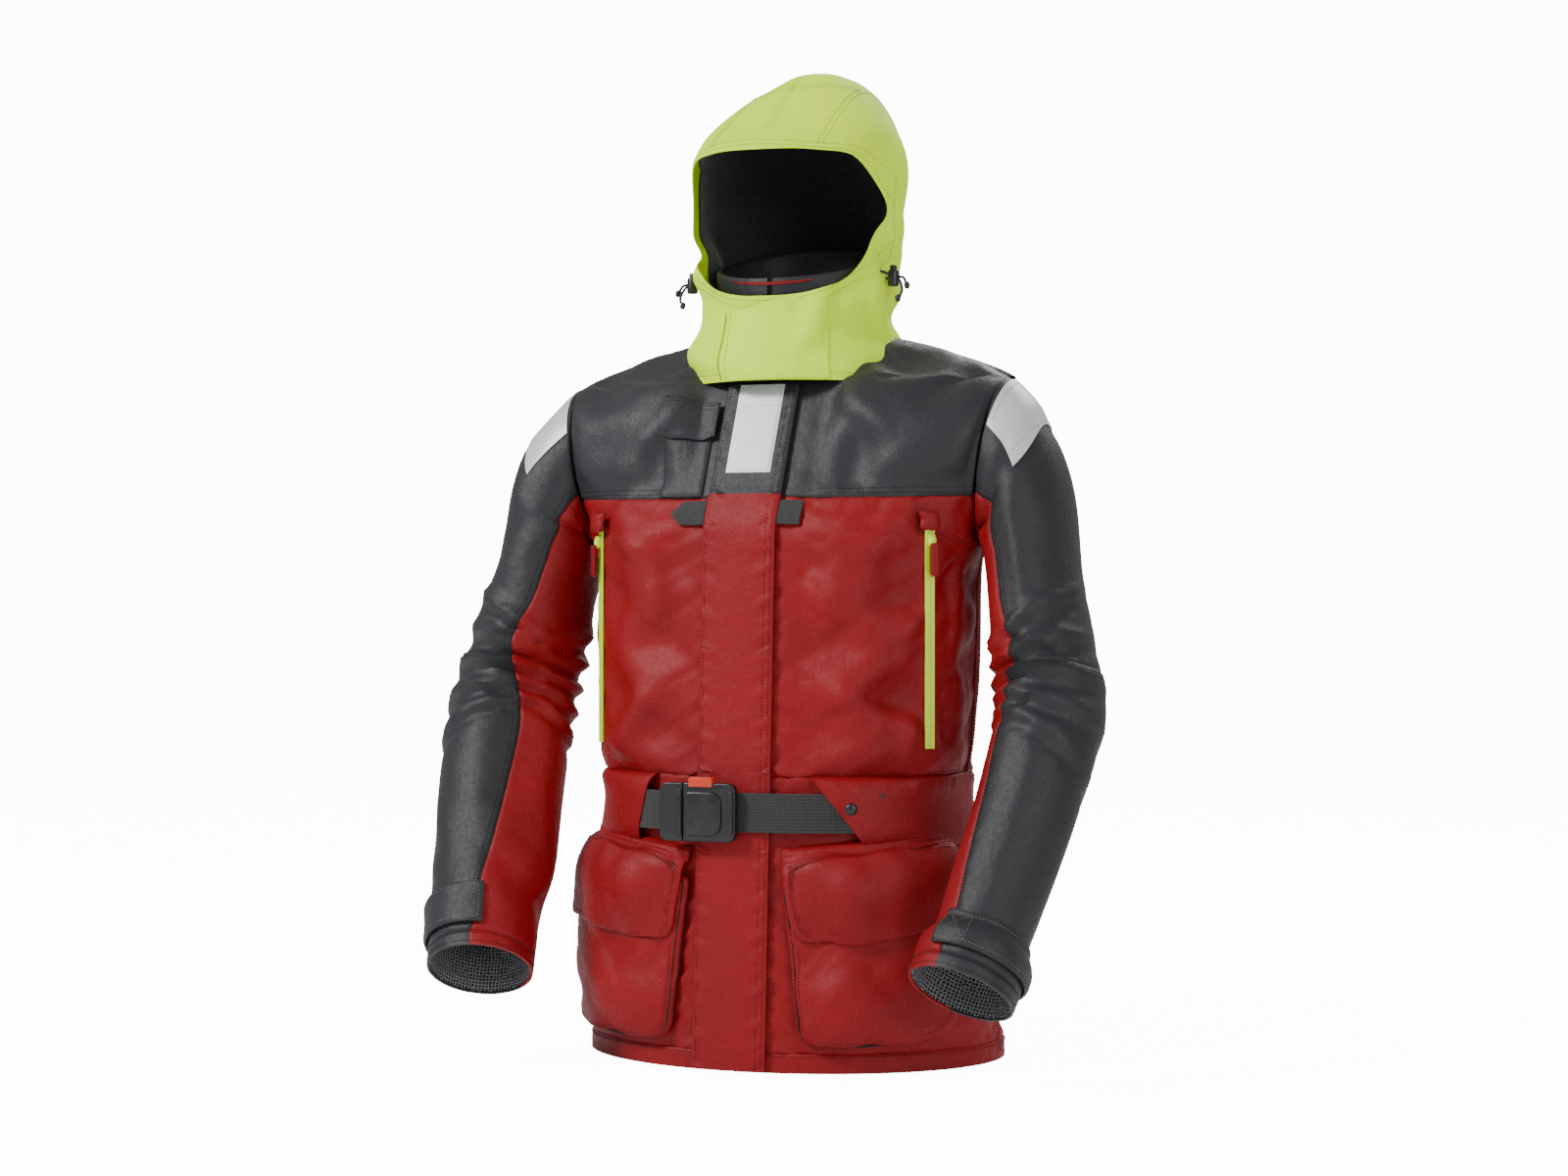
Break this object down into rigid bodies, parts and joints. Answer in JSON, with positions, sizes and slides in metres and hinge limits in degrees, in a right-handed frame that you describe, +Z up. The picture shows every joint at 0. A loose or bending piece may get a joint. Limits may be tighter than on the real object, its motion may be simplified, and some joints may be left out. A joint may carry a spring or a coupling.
{
  "type": "foul weather jacket",
  "caption": "Foam lined foul weather jacket with raised hood, yoke, waist belt, storm flap and bellows pockets, shaped as if worn.",
  "frame": {"origin": "centre of the hem plane between the side seams, on the front zip line", "axes": "+Z up the wearer, -Y the way the wearer faces, +X towards the wearer's left"},
  "size_m": [0.7426, 0.4561, 1.058],
  "materials": {
    "red_shell": "coated woven nylon, soft sheen",
    "charcoal_shell": "coated woven nylon, soft sheen",
    "lime_shell": "high visibility woven polyester, matte",
    "fleece": "dark fleece",
    "mesh": "open mesh lining",
    "foam": "closed cell foam slab",
    "reflective_tape": "glass bead reflective tape",
    "black_webbing": "woven webbing",
    "black_plastic": "moulded, fine texture",
    "orange_plastic": "moulded",
    "lime_zip": "moulded zip teeth",
    "snap_metal": "black painted snap"
  },
  "bodies": {
    "jacket": {"back_panel": "red_shell", "belt_tunnel_left": "red_shell", "belt_tunnel_right": "red_shell", "belt_webbing": "black_webbing", "buckle_housing": "black_plastic", "cargo_pocket_left": "red_shell", "cargo_pocket_right": "red_shell", "chest_pocket": "charcoal_shell", "chest_webbing_tabs": "black_webbing", "chest_zip_tracks": "lime_zip", "collar": "charcoal_shell", "flotation_foam": "foam", "front_panel_left": "red_shell", "front_panel_right": "red_shell", "hanger_loop": "black_webbing", "hem_band": "red_shell", "main_zip_tapes": "lime_zip", "mesh_lining": "mesh", "shoulder_reflectors": "reflective_tape", "storm_flap_held": "red_shell", "storm_flap_reflector": "reflective_tape", "tunnel_snap": "snap_metal", "yoke_back": "charcoal_shell", "yoke_front_left": "charcoal_shell", "yoke_front_right": "charcoal_shell"},
    "storm_flap_chest": {"storm_flap_chest": "red_shell"},
    "storm_flap_skirt": {"storm_flap_skirt": "red_shell"},
    "main_zip_top_slider": {"main_zip_top_slider": "lime_zip"},
    "main_zip_bottom_slider": {"main_zip_bottom_slider": "lime_zip"},
    "buckle_tongue": {"buckle_tongue": "black_plastic"},
    "buckle_button": {"buckle_button": "orange_plastic"},
    "chest_pocket_flap": {"chest_pocket_flap": "charcoal_shell"},
    "hood": {"hood_center_panel": "lime_shell", "hood_side_panel_left": "lime_shell", "hood_side_panel_right": "lime_shell", "hood_lining": "fleece", "hood_cords": "black_webbing"},
    "chin_tab": {"chin_tab": "lime_shell"},
    "cargo_flap_left": {"cargo_flap_left": "red_shell"},
    "chest_zip_slider_left": {"chest_zip_slider_left": "lime_zip"},
    "chest_zip_pull_left": {"chest_zip_pull_left": "red_shell"},
    "sleeve_upper_left": {"sleeve_upper_outer_left": "charcoal_shell", "sleeve_upper_inner_left": "red_shell"},
    "sleeve_lower_left": {"sleeve_lower_outer_left": "charcoal_shell", "sleeve_lower_inner_left": "red_shell", "cuff_band_left": "charcoal_shell"},
    "cuff_tab_left": {"cuff_tab_left": "charcoal_shell"},
    "cord_lock_left": {"cord_lock_barrel_left": "black_plastic"},
    "cord_lock_button_left": {"cord_lock_button_left": "black_plastic"},
    "cargo_flap_right": {"cargo_flap_right": "red_shell"},
    "chest_zip_slider_right": {"chest_zip_slider_right": "lime_zip"},
    "chest_zip_pull_right": {"chest_zip_pull_right": "red_shell"},
    "sleeve_upper_right": {"sleeve_upper_outer_right": "charcoal_shell", "sleeve_upper_inner_right": "red_shell"},
    "sleeve_lower_right": {"sleeve_lower_outer_right": "charcoal_shell", "sleeve_lower_inner_right": "red_shell", "cuff_band_right": "charcoal_shell"},
    "cuff_tab_right": {"cuff_tab_right": "charcoal_shell"},
    "cord_lock_right": {"cord_lock_barrel_right": "black_plastic"},
    "cord_lock_button_right": {"cord_lock_button_right": "black_plastic"}
  },
  "joints": [
    {"name": "storm_flap_chest_open", "type": "hinge", "parent": "jacket", "child": "storm_flap_chest", "pos_m": [0.037, -0.14386, 0.432], "axis": [0, 0.0535, 0.9986], "range_deg": [0, 95]},
    {"name": "storm_flap_skirt_open", "type": "hinge", "parent": "jacket", "child": "storm_flap_skirt", "pos_m": [0.037, -0.161, 0.112], "axis": [0, 0.0535, 0.9986], "range_deg": [0, 95]},
    {"name": "main_zip_top_slide", "type": "slide", "parent": "jacket", "child": "main_zip_top_slider", "axis": [0, -0.4119, -0.9112], "range_m": [0, 0.088]},
    {"name": "main_zip_bottom_slide", "type": "slide", "parent": "jacket", "child": "main_zip_bottom_slider", "axis": [0, 0.0535, 0.9986], "range_m": [0, 0.5]},
    {"name": "buckle_tongue_slide", "type": "slide", "parent": "jacket", "child": "buckle_tongue", "axis": [-1, 0, 0], "range_m": [0, 0.04]},
    {"name": "buckle_button_press", "type": "slide", "parent": "jacket", "child": "buckle_button", "axis": [0, 0, -1], "range_m": [0, 0.004], "stiffness_N_per_m": 120},
    {"name": "chest_pocket_flap_lift", "type": "hinge", "parent": "jacket", "child": "chest_pocket_flap", "pos_m": [-0.08, -0.0719, 0.6883], "axis": [-0.9907, 0.136, 0], "range_deg": [0, 100]},
    {"name": "hood_fold", "type": "hinge", "parent": "jacket", "child": "hood", "pos_m": [0, 0.1206, 0.7134], "axis": [-1, 0, 0], "range_deg": [0, 95]},
    {"name": "chin_tab_open", "type": "hinge", "parent": "hood", "child": "chin_tab", "pos_m": [0.0222, -0.0748, 0.755], "axis": [0, 0, 1], "range_deg": [0, 110]},
    {"name": "shoulder_raise_left", "type": "hinge", "parent": "jacket", "child": "sleeve_upper_left", "pos_m": [0.244, 0, 0.716], "axis": [0, -1, 0], "range_deg": [0, 50]},
    {"name": "elbow_bend_left", "type": "hinge", "parent": "sleeve_upper_left", "child": "sleeve_lower_left", "pos_m": [0.307, 0.024, 0.344], "axis": [-1, 0, 0], "range_deg": [-25, 21]},
    {"name": "cuff_tab_open_left", "type": "hinge", "parent": "sleeve_lower_left", "child": "cuff_tab_left", "pos_m": [0.24591, -0.23465, 0.17382], "axis": [-0.1788, -0.5365, -0.8247], "range_deg": [0, 90]},
    {"name": "cargo_flap_lift_left", "type": "hinge", "parent": "jacket", "child": "cargo_flap_left", "pos_m": [0.1229, -0.1476, 0.2242], "axis": [-0.869, -0.483, -0.107], "range_deg": [0, 35]},
    {"name": "chest_zip_slide_left", "type": "slide", "parent": "jacket", "child": "chest_zip_slider_left", "axis": [0, 0, -1], "range_m": [0, 0.19]},
    {"name": "chest_zip_pull_swing_left", "type": "hinge", "parent": "chest_zip_slider_left", "child": "chest_zip_pull_left", "pos_m": [0.19356, -0.08192, 0.54], "axis": [-0.6, -0.8, 0], "range_deg": [0, 110]},
    {"name": "cord_lock_slide_left", "type": "slide", "parent": "hood", "child": "cord_lock_left", "axis": [1, 0, 0], "range_m": [0, 0.01]},
    {"name": "cord_lock_press_left", "type": "slide", "parent": "cord_lock_left", "child": "cord_lock_button_left", "axis": [0, 0, -1], "range_m": [0, 0.0035], "stiffness_N_per_m": 120},
    {"name": "shoulder_raise_right", "type": "hinge", "parent": "jacket", "child": "sleeve_upper_right", "pos_m": [-0.244, 0, 0.716], "axis": [0, 1, 0], "range_deg": [0, 50]},
    {"name": "elbow_bend_right", "type": "hinge", "parent": "sleeve_upper_right", "child": "sleeve_lower_right", "pos_m": [-0.307, 0.024, 0.344], "axis": [-1, 0, 0], "range_deg": [-25, 21]},
    {"name": "cuff_tab_open_right", "type": "hinge", "parent": "sleeve_lower_right", "child": "cuff_tab_right", "pos_m": [-0.24591, -0.23465, 0.17382], "axis": [-0.1788, 0.5365, 0.8247], "range_deg": [0, 90]},
    {"name": "cargo_flap_lift_right", "type": "hinge", "parent": "jacket", "child": "cargo_flap_right", "pos_m": [-0.1229, -0.1476, 0.2242], "axis": [-0.869, 0.483, 0.107], "range_deg": [0, 35]},
    {"name": "chest_zip_slide_right", "type": "slide", "parent": "jacket", "child": "chest_zip_slider_right", "axis": [0, 0, -1], "range_m": [0, 0.19]},
    {"name": "chest_zip_pull_swing_right", "type": "hinge", "parent": "chest_zip_slider_right", "child": "chest_zip_pull_right", "pos_m": [-0.19356, -0.08192, 0.54], "axis": [-0.6, 0.8, 0], "range_deg": [0, 110]},
    {"name": "cord_lock_slide_right", "type": "slide", "parent": "hood", "child": "cord_lock_right", "axis": [-1, 0, 0], "range_m": [0, 0.01]},
    {"name": "cord_lock_press_right", "type": "slide", "parent": "cord_lock_right", "child": "cord_lock_button_right", "axis": [0, 0, -1], "range_m": [0, 0.0035], "stiffness_N_per_m": 120}
  ]
}
